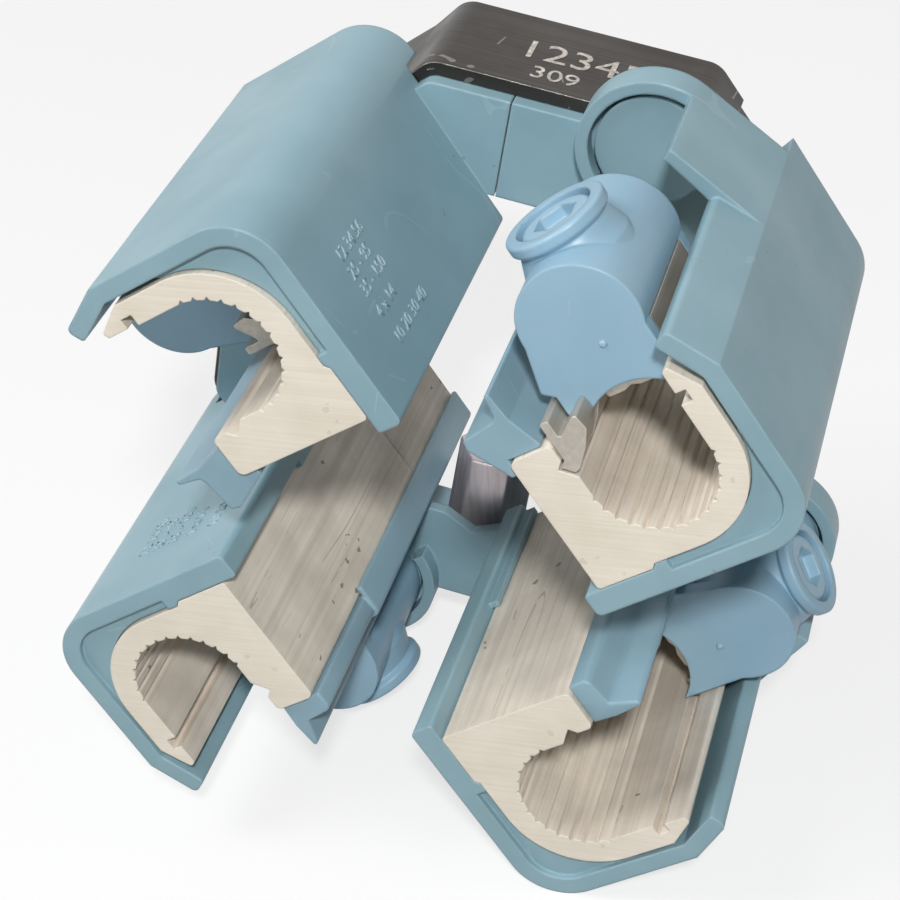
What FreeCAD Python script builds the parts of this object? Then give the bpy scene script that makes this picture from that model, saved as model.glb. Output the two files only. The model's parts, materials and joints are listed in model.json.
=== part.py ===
import FreeCAD, Part
import math
import os
import Sketcher
from types import SimpleNamespace

# Four-way cable tap connector: four clamp units stand round a cable passage and an
# octagonal steel band holds them together at the back. The origin is on the passage's
# axis, level with the units' front faces; +Y runs to the back and +Z is up.
# Each unit is drawn upright: X across its flat contact face, Z outwards from the axis.

DRIVING_SIZES = [
    ("lie_turn", 12.2, "roll of the whole connector, clockwise from the front, as it lies"),
    ("unit_turn", 43.4, "turn of the first unit against the band's flats"),
    ("seat_gap", 0.1, "gap between pieces that seat on each other"),
    ("slide_gap", 0.3, "gap round pieces that move"),
    # jaw: an extruded metal channel with a flat arm and a thin arm
    ("face_reach", 21.5, "flat contact face from the passage's axis"),
    ("face_left", 9.5, "contact face, left of the unit's middle"),
    ("face_right", 9.8, "contact face, right of the unit's middle"),
    ("flat_arm", 6.6, "thickness of the flat arm"),
    ("thin_arm", 3.4, "thickness of the thin arm and of the bend"),
    ("chamber_radius", 7.8, "radius of the tap chamber's round end"),
    ("chamber_shift", 2.0, "chamber's centre, left of the unit's middle"),
    ("jaw_length", 48.0, "length of the extruded jaw"),
    ("side_step", 0.6, "step in the jaw's side"),
    ("side_step_rise", 7.5, "height of that step above the contact face"),
    ("tip_bend", 6.9, "thin arm's bend, left of the chamber's centre"),
    ("tip_reach", 10.7, "thin arm's tip, left of the chamber's centre"),
    ("tip_drop", 2.4, "how far the tip bends inwards"),
    ("jaw_lip_rise", 0.2, "thin arm's inner side near its tip, above the chamber's roof"),
    ("groove_width", 1.6, "width of the upper guide groove"),
    ("groove_depth", 1.5, "depth of the upper guide groove"),
    ("upper_groove", 6.6, "upper groove's middle, left of the chamber's centre"),
    ("notch_place", 4.3, "V groove's bottom in the flat arm, left of the chamber's centre"),
    ("notch_drop", 1.8, "bottom of the V groove, below the chamber's floor"),
    ("notch_run", 0.9, "steep side of the V groove, sideways"),
    ("end_drop", 0.8, "flat arm's end, below the chamber's floor"),
    ("end_slot_rise", 2.0, "slot in the flat arm's end, above the contact face"),
    ("end_slot_width", 1.6, "width of that slot"),
    ("end_slot_depth", 0.9, "depth of that slot"),
    ("end_slot_start", 4.0, "front end of that slot"),
    ("tooth_count", 15, "clamping grooves round the chamber"),
    ("tooth_depth", 0.45, "depth of a clamping groove"),
    ("tooth_half", 0.5, "half width of a clamping groove"),
    ("tooth_sweep", 168.0, "angle from the first groove to the last"),
    ("tooth_start", 0.2, "where a groove's sides meet, inside the chamber's wall"),
    # shell: the moulded cover of a unit
    ("shell_wall", 2.4, "wall of the shell"),
    ("shell_lip", 2.2, "how far the shell passes the contact face"),
    ("long_wall", 3.3, "wall of the shell's long side"),
    ("shell_gap", 0.7, "gap between the thin arm and the shell"),
    ("shell_corner", 7.3, "outer corner radius"),
    ("shell_kink", 10.4, "bend in the shell's far side, left of the unit's middle"),
    ("lip_run", 6.2, "bent lip, sideways"),
    ("lip_drop", 3.2, "bent lip, inwards"),
    ("lip_length", 31.0, "length of the bare lip before the shroud starts"),
    ("lap_start", 26.5, "where the strip and the shell begin to lap over the contact face"),
    ("side_lap", 1.2, "how far the shell laps over the contact face"),
    ("lap_sheet", 0.9, "thickness of that lap"),
    ("web_edge", 2.0, "edge of the recessed web from the chamber's middle and the side step"),
    ("web_margin", 0.4, "rim left beside the jaw's straight side"),
    ("web_recess", 0.9, "how far the web lies behind the front rim"),
    ("shroud_touch", 19.3, "where the flat shroud meets its round edge, past the carrier's top"),
    ("shroud_angle", 27.0, "how far the shroud wraps past the carrier's top"),
    ("hood_gap", 0.7, "gap round the carrier inside the hood"),
    ("shroud_wall", 1.6, "wall of the shroud"),
    ("hood_wall", 1.6, "wall of the hood"),
    ("hood_depth", 2.8, "length of the hood"),
    ("back_wall", 1.8, "thickness of the shell's back wall"),
    ("back_wall_reach", 26.2, "inner edge of the back wall from the axis"),
    ("stop_height", 1.7, "thickness of the round end stop"),
    ("skirt_length", 4.0, "far side carried on past the back wall"),
    ("seam_shift", 5.6, "seam between two shells, off the band's middle line"),
    ("liner_wall", 1.8, "wall of the liner under the band"),
    # band
    ("band_inner", 40.0, "flat of the band from the axis, inside"),
    ("band_width", 19.0, "width of the band"),
    ("band_sheet", 0.9, "thickness of the band's sheet"),
    ("band_bend", 3.4, "bend radius of the band, outside"),
    ("lap_taper", 0.6, "thickness of the outer layer's end"),
    ("lap_run", 5.5, "how far the outer layer passes the bends"),
    # carrier: the screw's housing, which slides along the jaw
    ("carrier_shift", 17.6, "carrier's axis, left of the chamber's centre"),
    ("screw_lift", 0.8, "screw's level above the chamber's centre"),
    ("carrier_radius", 7.4, "radius of the carrier's round back"),
    ("carrier_length", 21.5, "length of the carrier"),
    ("carrier_plate", 2.0, "thickness of its front and back plates"),
    ("bite_radius", 8.2, "radius of the bite for the tap core"),
    ("bite_low", 5.9, "lower end of the bite, left of the chamber's centre"),
    ("bite_high", 5.4, "upper end of the bite, left of the chamber's centre"),
    ("tail_width", 0.6, "width of the end plate's blunt tail"),
    ("lug_place", 11.7, "lug of the end plate behind the yoke's shoe, left of the centre"),
    ("lug_drop", 1.4, "how far that lug hangs below the tail"),
    ("turret_place", 9.5, "turret's axis behind the carrier's front"),
    ("collar_radius", 6.4, "radius of the turret's collar"),
    ("collar_rise", 2.1, "collar's end above the carrier's round back"),
    ("collar_height", 1.4, "height of the collar"),
    ("neck_radius", 5.7, "radius of the turret's neck"),
    ("foot_radius", 6.8, "radius of the turret's flared foot"),
    ("foot_run", 2.9, "length of that flare"),
    ("mouth_radius", 4.9, "radius of the turret's bore"),
    # clamp
    ("yoke_back", 14.2, "yoke's outer face, left of the chamber's centre"),
    ("yoke_thickness", 5.0, "thickness of the yoke"),
    ("nose_length", 4.3, "how far the yoke's nose stands out before the carrier"),
    ("rib_step", 1.2, "step at the foot of the yoke's upper rib"),
    ("rib_play", 0.25, "gap round the yoke's upper rib"),
    ("shoe_thickness", 1.1, "thickness of the yoke's shoe"),
    ("shoe_heel", 10.3, "shoe's far edge, left of the chamber's centre"),
    ("shoe_rib", 1.2, "sloping side of the shoe's V rib, sideways"),
    ("prong_run", 2.5, "slope from the shoe's edge to the nose's shoulder, sideways"),
    ("prong_shoulder", 2.2, "shoulder of the nose above the shoe"),
    ("prong_crest", 3.6, "crest of the nose above the shoe"),
    ("crest_place", 7.6, "near end of that crest, left of the chamber's centre"),
    ("crest_width", 2.3, "width of that crest"),
    ("slot_place", 7.7, "bottom of the nose's V slot, left of the chamber's centre"),
    ("pad_thickness", 1.8, "thickness of the pressure pad"),
    ("pad_groove", 0.4, "depth of the groove along the pad's face"),
    ("pad_half", 3.3, "half height of the pressure pad"),
    ("pad_length", 15.0, "length of the pressure pad"),
    ("screw_radius", 4.0, "radius of the clamp screw"),
    ("screw_run", 0.08, "gap round the screw's thread and pin"),
    ("screw_chamfer", 0.6, "chamfer at the screw's tip"),
    ("screw_length", 10.9, "threaded length of the clamp screw"),
    ("screw_hex", 6.0, "width across flats of the screw's end"),
    ("screw_hex_height", 3.8, "height of the screw's hexagonal end"),
    ("pin_radius", 1.8, "pin that carries the pressure pad"),
    ("pin_length", 1.2, "length of that pin"),
    ("cap_radius", 4.6, "radius of the screw's insulating cap"),
    ("cap_length", 6.6, "length of the cap"),
    ("cap_socket", 5.0, "width across flats of the socket in the cap"),
    ("cap_socket_depth", 1.6, "depth of that socket"),
    # edge strip
    ("strip_gap", 0.1, "gap between the strip and the jaw"),
    ("strip_foot", 7.4, "foot of the strip, left of the unit's middle"),
    ("strip_wide_foot", 5.6, "the wider back part of the foot"),
    ("strip_foot_sheet", 0.9, "thickness of the foot at its edge"),
    ("strip_top", 4.6, "strip's top at the flat arm, above the contact face"),
    ("flange_root", 4.6, "root of the strip's flange, left of the contact face's edge"),
    ("flange_rise", 3.0, "top of that root, above the contact face"),
    ("flange_tip", 8.5, "tip of the flange, left of the contact face's edge"),
    ("flange_sheet", 0.6, "thickness of the flange at its tip"),
    ("valley_run", 5.2, "bottom of the strip's trough, left of the contact face's edge"),
    ("valley_rise", 1.6, "bottom of the trough, above the contact face"),
    ("strip_low_run", 4.5, "lower edge of the strip, left of the contact face's edge"),
    ("strip_low_drop", 3.8, "lower edge of the strip, below the contact face"),
    ("strip_low_width", 1.3, "width of that blunt edge"),
    ("strip_set_back", 0.6, "strip's front behind the jaw's front"),
    # closing bolt and its long nut
    ("bolt_place", 7.8, "closing bolt behind the band's front edge"),
    ("bolt_radius", 3.0, "radius of the closing bolt"),
    ("bolt_hole_gap", 0.4, "gap round the closing bolt"),
    ("bolt_head_radius", 5.5, "radius of the bolt's low head"),
    ("bolt_head_height", 2.2, "height of that head"),
    ("bolt_length", 12.0, "length of the bolt's shank"),
    ("nut_flats", 10.0, "width across flats of the long nut"),
    ("nut_length", 14.0, "length of the long nut"),
    ("gap_half", 8.0, "half width of the notch in the wall before the nut"),
    ("gap_depth", 2.2, "depth of that notch"),
    # where the carriers stand on their jaws
    ("carrier_back_gap", 0.3, "gap between a carrier that is pushed home and its stop"),
    ("top_right_place", 4.5, "top right carrier's front behind the jaw's front"),
]


class Size:
    """A length or an angle: its number and the sheet's expression for it."""

    def __init__(self, text, value):
        self.text = text
        self.value = value

    def join(self, sign, other, value):
        return Size("(%s %s %s)" % (self.text, sign, other.text), value)

    def __add__(self, other):
        other = as_size(other)
        return self.join("+", other, self.value + other.value)

    def __sub__(self, other):
        other = as_size(other)
        return self.join("-", other, self.value - other.value)

    def __mul__(self, other):
        other = as_size(other)
        return self.join("*", other, self.value * other.value)

    def __truediv__(self, other):
        other = as_size(other)
        return self.join("/", other, self.value / other.value)

    def __neg__(self):
        return Size("(0 - %s)" % self.text, -self.value)

    def __radd__(self, other):
        return as_size(other) + self

    def __rsub__(self, other):
        return as_size(other) - self

    __rmul__ = __mul__


def as_size(number):
    if isinstance(number, Size):
        return number
    return Size("%.9f" % number, float(number))


doc = FreeCAD.newDocument("four_way_tap_connector")
sheet = doc.addObject("Spreadsheet::Sheet", "Sizes")
for row, (alias, value, note) in enumerate(DRIVING_SIZES, start=1):
    sheet.set("A%d" % row, note)
    sheet.set("B%d" % row, str(value))
    sheet.setAlias("B%d" % row, alias)
doc.recompute()
size = SimpleNamespace(**{alias: Size("Sizes." + alias, value) for alias, value, note in DRIVING_SIZES})

# Places that several pieces share, in a unit's upright frame
chamber_across = -size.chamber_shift
chamber_level = size.face_reach + size.flat_arm + size.chamber_radius
chamber_floor = size.face_reach + size.flat_arm
chamber_roof = chamber_level + size.chamber_radius
jaw_top = chamber_roof + size.thin_arm
jaw_bend_side = chamber_across + size.chamber_radius + size.thin_arm
shell_reach = jaw_top + size.shell_gap + size.shell_wall
shell_right = size.face_right + size.seat_gap + size.long_wall
notch_across = chamber_across - size.notch_place
end_top = chamber_floor - size.end_drop
shoe_level = end_top + size.slide_gap
shoe_top = shoe_level + size.shoe_thickness
screw_level = chamber_level + size.screw_lift
carrier_across = chamber_across - size.carrier_shift
back_wall_front = size.jaw_length + 2 * size.seat_gap
stop_front = back_wall_front - size.stop_height
band_front = back_wall_front + size.back_wall + 2 * size.seat_gap
liner_reach = size.band_inner - size.seat_gap
liner_bend = size.band_bend - size.band_sheet - size.seat_gap
hood_radius = size.carrier_radius + size.hood_gap
home_place = stop_front - size.carrier_back_gap - size.carrier_length
OCTAGON = math.tan(math.radians(22.5))
HEX_CORNER = 1 / math.cos(math.radians(30))


def plane_of(body, role):
    return next(part for part in body.Origin.OriginFeatures if part.Role == role)


def add_sketch(body, role, origin=(0, 0, 0), turn=None, about=(0, 0, 1)):
    sketch = body.newObject("Sketcher::SketchObject", "Outline")
    sketch.AttachmentSupport = (plane_of(body, role), "")
    sketch.MapMode = "FlatFace"
    turning = FreeCAD.Rotation(FreeCAD.Vector(*about), 1.0)
    sketch.AttachmentOffset = FreeCAD.Placement(FreeCAD.Vector(0, 0, 0), turning)
    for letter, place in zip("xyz", origin):
        sketch.setExpression("AttachmentOffset.Base." + letter, as_size(place).text)
    sketch.setExpression("AttachmentOffset.Rotation.Angle", as_size(turn or 0).text)
    return sketch


def arc_geometry(start, end, radius):
    """Short arc from start to end; a positive radius turns counter-clockwise."""
    chord = end - start
    rise = math.sqrt(max(radius * radius - chord.Length * chord.Length / 4, 0))
    left = FreeCAD.Vector(-chord.y, chord.x, 0) / chord.Length
    centre = (start + end) / 2 + left * math.copysign(rise, radius)
    if radius < 0:
        start, end = end, start
    first = math.atan2(start.y - centre.y, start.x - centre.x)
    last = math.atan2(end.y - centre.y, end.x - centre.x)
    circle = Part.Circle(centre, FreeCAD.Vector(0, 0, 1), abs(radius))
    return Part.ArcOfCircle(circle, first, last)


def add_outline(sketch, corners):
    """Closed outline through corners (x, y). A third entry ("round", r) rounds the corner
    and ("arc", r) makes the side that leaves it an arc, counter-clockwise for r over 0."""
    count = len(corners)
    corners = [(as_size(c[0]), as_size(c[1])) + tuple(c[2:]) for c in corners]
    points = [FreeCAD.Vector(c[0].value, c[1].value, 0) for c in corners]
    kinds = [(c[2][0], as_size(c[2][1])) if len(c) > 2 else ("sharp", None) for c in corners]
    arrive = list(points)
    leave = list(points)
    for i in range(count):
        if kinds[i][0] == "round":
            before = (points[i] - points[i - 1]).normalize()
            after = (points[(i + 1) % count] - points[i]).normalize()
            run = kinds[i][1].value * math.tan(before.getAngle(after) / 2)
            arrive[i] = points[i] - before * run
            leave[i] = points[i] + after * run
    base = sketch.GeometryCount
    shapes = []
    for i in range(count):
        start, end = leave[i], arrive[(i + 1) % count]
        if kinds[i][0] == "arc":
            shapes.append(arc_geometry(start, end, kinds[i][1].value))
        else:
            shapes.append(Part.LineSegment(start, end))
    sketch.addGeometry(shapes, False)
    rules = []
    bound = []

    def bind(rule, expression):
        bound.append((len(rules), expression))
        rules.append(rule)

    def ends(i):
        """Point numbers of side i's start and end."""
        clockwise = kinds[i][0] == "arc" and kinds[i][1].value < 0
        return (2, 1) if clockwise else (1, 2)

    for i in range(count):
        across, up = corners[i][0], corners[i][1]
        last, here = base + (i - 1) % count, base + i
        last_end, here_start = ends((i - 1) % count)[1], ends(i)[0]
        if kinds[i][0] == "arc":
            radius = kinds[i][1] if kinds[i][1].value > 0 else -kinds[i][1]
            bind(Sketcher.Constraint("Radius", here, radius.value), radius)
        if kinds[i][0] == "round":
            radius = kinds[i][1]
            left_turn = (points[i] - points[i - 1]).cross(points[(i + 1) % count] - points[i]).z > 0
            signed = radius.value if left_turn else -radius.value
            curve = sketch.addGeometry(arc_geometry(arrive[i], leave[i], signed), False)
            corner = sketch.addGeometry(Part.Point(points[i]), True)
            first, second = (1, 2) if left_turn else (2, 1)
            rules.append(Sketcher.Constraint("Tangent", last, last_end, curve, first))
            rules.append(Sketcher.Constraint("Tangent", curve, second, here, here_start))
            rules.append(Sketcher.Constraint("PointOnObject", corner, 1, last))
            rules.append(Sketcher.Constraint("PointOnObject", corner, 1, here))
            bind(Sketcher.Constraint("Radius", curve, radius.value), radius)
            bind(Sketcher.Constraint("DistanceX", corner, 1, across.value), across)
            bind(Sketcher.Constraint("DistanceY", corner, 1, up.value), up)
        else:
            rules.append(Sketcher.Constraint("Coincident", last, last_end, here, here_start))
            bind(Sketcher.Constraint("DistanceX", here, here_start, across.value), across)
            bind(Sketcher.Constraint("DistanceY", here, here_start, up.value), up)
    first_rule = sketch.ConstraintCount
    sketch.addConstraint(rules)
    for index, expression in bound:
        sketch.setExpression("Constraints[%d]" % (first_rule + index), expression.text)


def add_circle(sketch, across, up, radius):
    across, up, radius = as_size(across), as_size(up), as_size(radius)
    centre = FreeCAD.Vector(across.value, up.value, 0)
    circle = sketch.addGeometry(Part.Circle(centre, FreeCAD.Vector(0, 0, 1), radius.value), False)
    first_rule = sketch.ConstraintCount
    sketch.addConstraint([Sketcher.Constraint("Radius", circle, radius.value),
                          Sketcher.Constraint("DistanceX", circle, 3, across.value),
                          Sketcher.Constraint("DistanceY", circle, 3, up.value)])
    for index, expression in enumerate((radius, across, up)):
        sketch.setExpression("Constraints[%d]" % (first_rule + index), expression.text)


def add_feature(body, kind, sketch, length, backwards):
    feature = body.newObject("PartDesign::" + kind, kind)
    feature.Profile = sketch
    feature.Reversed = backwards
    feature.setExpression("Length", as_size(length).text)
    return feature


def run_back(body, corners, start, length, turn=None):
    """Prism on an upright outline, from depth start towards the back."""
    sketch = add_sketch(body, "XZ_Plane", (0, 0, -as_size(start)), turn)
    add_outline(sketch, corners)
    return add_feature(body, "Pad", sketch, length, True)


def cut_back(body, corners, start, length, turn=None):
    sketch = add_sketch(body, "XZ_Plane", (0, 0, -as_size(start)), turn)
    add_outline(sketch, corners)
    return add_feature(body, "Pocket", sketch, length, False)


def disc_back(body, across, up, radius, start, length):
    sketch = add_sketch(body, "XZ_Plane", (0, 0, -as_size(start)))
    add_circle(sketch, across, up, radius)
    return add_feature(body, "Pad", sketch, length, True)


def turned(body, kind, corners, level, depth):
    """Revolution or Groove of an outline (place along X, radius) about a line along X."""
    sketch = add_sketch(body, "XZ_Plane", (0, level, -as_size(depth)))
    add_outline(sketch, corners)
    feature = body.newObject("PartDesign::" + kind, kind)
    feature.Profile = sketch
    feature.ReferenceAxis = (sketch, ["H_Axis"])
    feature.Angle = 360.0
    return feature


def tube_corners(first, last, radius):
    """Outline of a plain round stretch from first to last along X."""
    return [(first, 0), (last, 0), (last, radius), (first, radius)]


def hexagon(flats, first=0):
    """Corners of a hexagon; the first one stands at that angle from X."""
    corner = flats / 2 * HEX_CORNER
    turns = [math.radians(60 * i + first) for i in range(6)]
    return [(corner * math.cos(a), corner * math.sin(a)) for a in turns]


def new_body(label):
    body = doc.addObject("PartDesign::Body", label)
    body.Label = label
    return body


def make_jaw(label):
    """Extruded channel: flat arm with the contact face, serrated chamber and thin arm."""
    body = new_body(label)
    left = -size.face_left
    slot_low = size.face_reach + size.end_slot_rise
    step_top = size.face_reach + size.side_step_rise
    half_groove = size.groove_width / 2
    upper = chamber_across - size.upper_groove
    tip = chamber_across - size.tip_reach
    lip_roof = chamber_roof + size.jaw_lip_rise
    run_back(body, [
        (left, size.face_reach, ("round", 1.0)),
        (size.face_right, size.face_reach, ("round", 0.5)),
        (size.face_right, step_top),
        (jaw_bend_side, step_top + size.side_step),
        (jaw_bend_side, chamber_level, ("arc", size.chamber_radius + size.thin_arm)),
        (chamber_across, jaw_top),
        (chamber_across - size.tip_bend, jaw_top),
        (tip, jaw_top - size.tip_drop, ("round", 0.4)),
        (tip + size.thin_arm / 8, lip_roof, ("round", 0.3)),
        (upper - half_groove, lip_roof),
        (upper - half_groove, chamber_roof + size.groove_depth),
        (upper + half_groove, chamber_roof + size.groove_depth),
        (upper + half_groove, chamber_roof),
        (chamber_across, chamber_roof, ("arc", -size.chamber_radius)),
        (chamber_across + size.chamber_radius, chamber_level, ("arc", -size.chamber_radius)),
        (chamber_across, chamber_floor),
        (notch_across + size.notch_drop, chamber_floor),
        (notch_across, chamber_floor - size.notch_drop, ("round", 0.2)),
        (notch_across - size.notch_run, end_top, ("round", 0.2)),
        (left, end_top, ("round", 0.8)),
    ], 0, size.jaw_length)
    # slot for the edge strip's tongue
    cut_back(body, [
        (left - size.end_slot_depth, slot_low),
        (left + size.end_slot_depth, slot_low),
        (left + size.end_slot_depth, slot_low + size.end_slot_width),
        (left - size.end_slot_depth, slot_low + size.end_slot_width),
    ], size.end_slot_start, size.jaw_length - size.end_slot_start)
    # one clamping groove, repeated round the chamber's centre
    sketch = add_sketch(body, "XZ_Plane", (chamber_across, chamber_level, 0), -size.tooth_sweep / 2)
    add_outline(sketch, [
        (size.chamber_radius - size.tooth_start, -size.tooth_half),
        (size.chamber_radius + size.tooth_depth, 0),
        (size.chamber_radius - size.tooth_start, size.tooth_half),
    ])
    tooth = add_feature(body, "Pocket", sketch, size.jaw_length, False)
    pattern = body.newObject("PartDesign::PolarPattern", "PolarPattern")
    pattern.Originals = [tooth]
    pattern.Axis = (sketch, ["N_Axis"])
    pattern.setExpression("Angle", size.tooth_sweep.text)
    pattern.setExpression("Occurrences", size.tooth_count.text)
    body.Tip = pattern
    return body


def octagon_strip(reach, inner_reach, first_seam, last_seam):
    """Quarter of an octagonal ring, in the band's own directions, from seam to seam."""
    return [
        (-first_seam, reach),
        (-reach * OCTAGON, reach, ("round", liner_bend)),
        (-reach, reach * OCTAGON, ("round", liner_bend)),
        (-reach, -last_seam),
        (-inner_reach, -last_seam),
        (-inner_reach, inner_reach * OCTAGON),
        (-inner_reach * OCTAGON, inner_reach),
        (-first_seam, inner_reach),
    ]


def on_circle(radius, angle):
    """Place on a circle round the carrier's axis, at an angle past its top."""
    turn = math.radians(angle.value)
    return carrier_across - radius * math.sin(turn), screw_level + radius * math.cos(turn)


def make_shell(label, bolted):
    """Moulded cover: channel round the jaw, shroud and hood round the carrier, back wall
    with its quarter of the ring, and the liner under the band."""
    body = new_body(label)
    wall = size.shell_wall
    kink = -size.shell_kink
    tip = (kink - size.lip_run, shell_reach - size.lip_drop)
    lip_length = math.hypot(size.lip_run.value, size.lip_drop.value)
    slope = (size.lip_run.value / lip_length, size.lip_drop.value / lip_length)
    inner_tip = (tip[0] + wall * slope[1], tip[1] - wall * slope[0])
    inner_kink = (kink + wall * (slope[1] / (1 + slope[0])), shell_reach - wall)
    inner_right = size.face_right + size.seat_gap
    inner_side = jaw_bend_side + size.seat_gap
    inner_top = jaw_top + size.seat_gap
    low = size.face_reach - size.shell_lip
    step = size.face_reach + size.side_step_rise
    corner_across = shell_right - size.shell_corner
    corner_up = shell_reach - size.shell_corner
    # channel round the jaw
    run_back(body, [
        (shell_right, low, ("round", 0.8)),
        (shell_right, corner_up, ("arc", size.shell_corner)),
        (corner_across, shell_reach),
        (kink, shell_reach),
        (tip[0], tip[1], ("round", 0.8)),
        (inner_tip[0], inner_tip[1], ("round", 0.5)),
        (inner_kink[0], inner_kink[1]),
        (chamber_across - size.web_edge / 2, shell_reach - wall),
        (chamber_across, inner_top, ("arc", -(inner_top - chamber_level))),
        (inner_side, chamber_level),
        (inner_side, step + size.side_step),
        (inner_right, step),
        (inner_right, low, ("round", 0.5)),
    ], 0, back_wall_front)
    # the web round the jaw's bend lies behind the rim
    rim_corner = size.shell_corner - wall
    cut_back(body, [
        (shell_right - wall, step + size.web_edge),
        (shell_right - wall, corner_up, ("arc", rim_corner)),
        (corner_across, shell_reach - wall),
        (chamber_across - size.web_edge, shell_reach - wall),
        (chamber_across - size.web_edge, chamber_level - size.web_edge),
        (inner_side - size.web_margin, step + size.web_edge),
    ], 0, size.web_recess)
    # shroud over the top of the carrier, from the lip's end to the back wall
    shroud_outer = hood_radius + size.shroud_wall
    touch, inner_touch = (on_circle(r, size.shroud_touch) for r in (shroud_outer, hood_radius))
    edge, inner_edge = (on_circle(r, size.shroud_angle) for r in (shroud_outer, hood_radius))
    run_back(body, [
        (kink, shell_reach),
        (touch[0], touch[1], ("arc", shroud_outer)),
        (edge[0], edge[1]),
        (inner_edge[0], inner_edge[1], ("arc", -hood_radius)),
        (inner_touch[0], inner_touch[1]),
        (inner_kink[0], inner_kink[1]),
    ], size.lip_length, back_wall_front - size.lip_length)
    # hood round the carrier's outer side
    hood_outer = hood_radius + size.hood_wall
    run_back(body, [
        (carrier_across, screw_level + hood_outer, ("arc", hood_outer)),
        (carrier_across - hood_outer, screw_level, ("arc", hood_outer)),
        (carrier_across, screw_level - hood_outer),
        (carrier_across, screw_level - hood_radius, ("arc", -hood_radius)),
        (carrier_across - hood_radius, screw_level, ("arc", -hood_radius)),
        (carrier_across, screw_level + hood_radius),
    ], back_wall_front - size.hood_depth, size.hood_depth)
    # back wall: behind the jaw and the carrier
    run_back(body, [
        (shell_right, size.back_wall_reach),
        (shell_right, corner_up, ("arc", size.shell_corner)),
        (corner_across, shell_reach),
        (kink, shell_reach),
        (touch[0], touch[1]),
        (carrier_across, screw_level),
        (carrier_across, size.back_wall_reach),
    ], back_wall_front, size.back_wall)
    disc_back(body, carrier_across, screw_level, hood_outer, back_wall_front, size.back_wall)
    # its quarter of the ring, in the band's directions
    seam = size.seam_shift + size.seat_gap
    other_seam = size.seam_shift - size.seat_gap
    against_band = -size.unit_turn
    run_back(body, octagon_strip(liner_reach, size.back_wall_reach, seam, other_seam),
             back_wall_front, size.back_wall, against_band)
    # round stop that the carrier meets when it is pushed home
    disc_back(body, carrier_across, screw_level, size.carrier_radius, stop_front, size.stop_height)
    # liner under the band
    run_back(body, octagon_strip(liner_reach, liner_reach - size.liner_wall, seam, other_seam),
             back_wall_front + size.back_wall, size.band_width + 2 * size.seat_gap, against_band)
    # the far side and its corner are carried on over the band's front edge
    run_back(body, [
        (shell_right, corner_up, ("arc", size.shell_corner)),
        (corner_across, shell_reach),
        (kink, shell_reach),
        (inner_kink[0], inner_kink[1]),
        (corner_across, shell_reach - wall, ("arc", -rim_corner)),
        (shell_right - wall, corner_up),
    ], back_wall_front + size.back_wall, size.skirt_length)
    # lap over the contact face's edge
    face = size.face_reach - size.seat_gap
    run_back(body, [
        (size.face_right - size.side_lap, face),
        (size.face_right - size.side_lap, face - size.lap_sheet),
        (inner_right + size.long_wall / 2, face - size.lap_sheet),
        (inner_right + size.long_wall / 2, face),
    ], size.lap_start, back_wall_front - size.lap_start)
    if bolted:
        # notch before the long nut, and the closing bolt's hole
        cut_back(body, [
            (-size.back_wall_reach + size.back_wall, -size.gap_half),
            (-size.back_wall_reach + size.back_wall, size.gap_half),
            (-size.back_wall_reach - size.gap_depth, 0),
        ], back_wall_front, size.back_wall, against_band)
        sketch = add_sketch(body, "YZ_Plane", (0, 0, 0), size.unit_turn, (1, 0, 0))
        add_circle(sketch, band_front + size.bolt_place, 0, size.bolt_radius + size.bolt_hole_gap)
        add_feature(body, "Pocket", sketch, size.band_inner, False)
    return body


def make_edge_strip(label):
    """Insulating strip on the flat arm's end: foot, tongue, open trough and thin flange."""
    body = new_body(label)
    left = -size.face_left
    gap = size.strip_gap
    face = size.face_reach - gap
    root_top = size.face_reach + size.flange_rise
    low_edge = size.face_reach - size.strip_low_drop
    length = size.jaw_length - size.strip_set_back
    run_back(body, [
        (-size.strip_foot, face),
        (left - gap, face),
        (left - gap, size.face_reach + size.strip_top, ("round", 0.3)),
        (left - size.flange_root, root_top),
        (left - size.flange_tip, root_top - size.flange_sheet / 2, ("round", 0.2)),
        (left - size.flange_tip, root_top - size.flange_sheet * 1.5, ("round", 0.2)),
        (left - size.valley_run, size.face_reach + size.valley_rise, ("round", 1.0)),
        (left - size.strip_low_run, low_edge + gap * 3, ("round", 0.3)),
        (left - size.strip_low_run + size.strip_low_width, low_edge, ("round", 0.4)),
        (-size.strip_foot, face - size.strip_foot_sheet),
    ], size.strip_set_back, length)
    # tongue in the arm's slot
    tongue_low = size.face_reach + size.end_slot_rise + gap
    tongue_top = tongue_low + size.end_slot_width - 2 * gap
    tongue_start = size.end_slot_start + gap
    run_back(body, [
        (left - 3 * gap, tongue_low),
        (left + size.end_slot_depth - gap, tongue_low),
        (left + size.end_slot_depth - gap, tongue_top),
        (left - 3 * gap, tongue_top),
    ], tongue_start, size.jaw_length - tongue_start)
    # the foot is wider at the back
    overlap = 2 * size.strip_foot_sheet
    run_back(body, [
        (-size.strip_wide_foot, face),
        (-size.strip_foot - overlap, face),
        (-size.strip_foot - overlap, face - size.strip_foot_sheet),
        (-size.strip_wide_foot, face - size.strip_foot_sheet),
    ], size.lap_start, size.jaw_length - size.lap_start)
    return body


def plate_corners():
    """Carrier's end plate from its axis to the bite that clears the tap core."""
    roof = chamber_roof - size.slide_gap
    floor = shoe_top + size.slide_gap
    lug = chamber_across - size.lug_place
    bite_low = chamber_across - size.bite_low
    return [
        (carrier_across, floor + size.slide_gap),
        (lug, floor - size.lug_drop, ("round", 0.4)),
        (lug + size.lug_drop - size.slide_gap, floor),
        (bite_low - size.tail_width, floor),
        (bite_low, floor + size.tail_width * 2, ("arc", -size.bite_radius)),
        (chamber_across - size.bite_high, roof),
        (chamber_across - size.tip_reach, roof),
        (carrier_across, roof),
    ]


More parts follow.
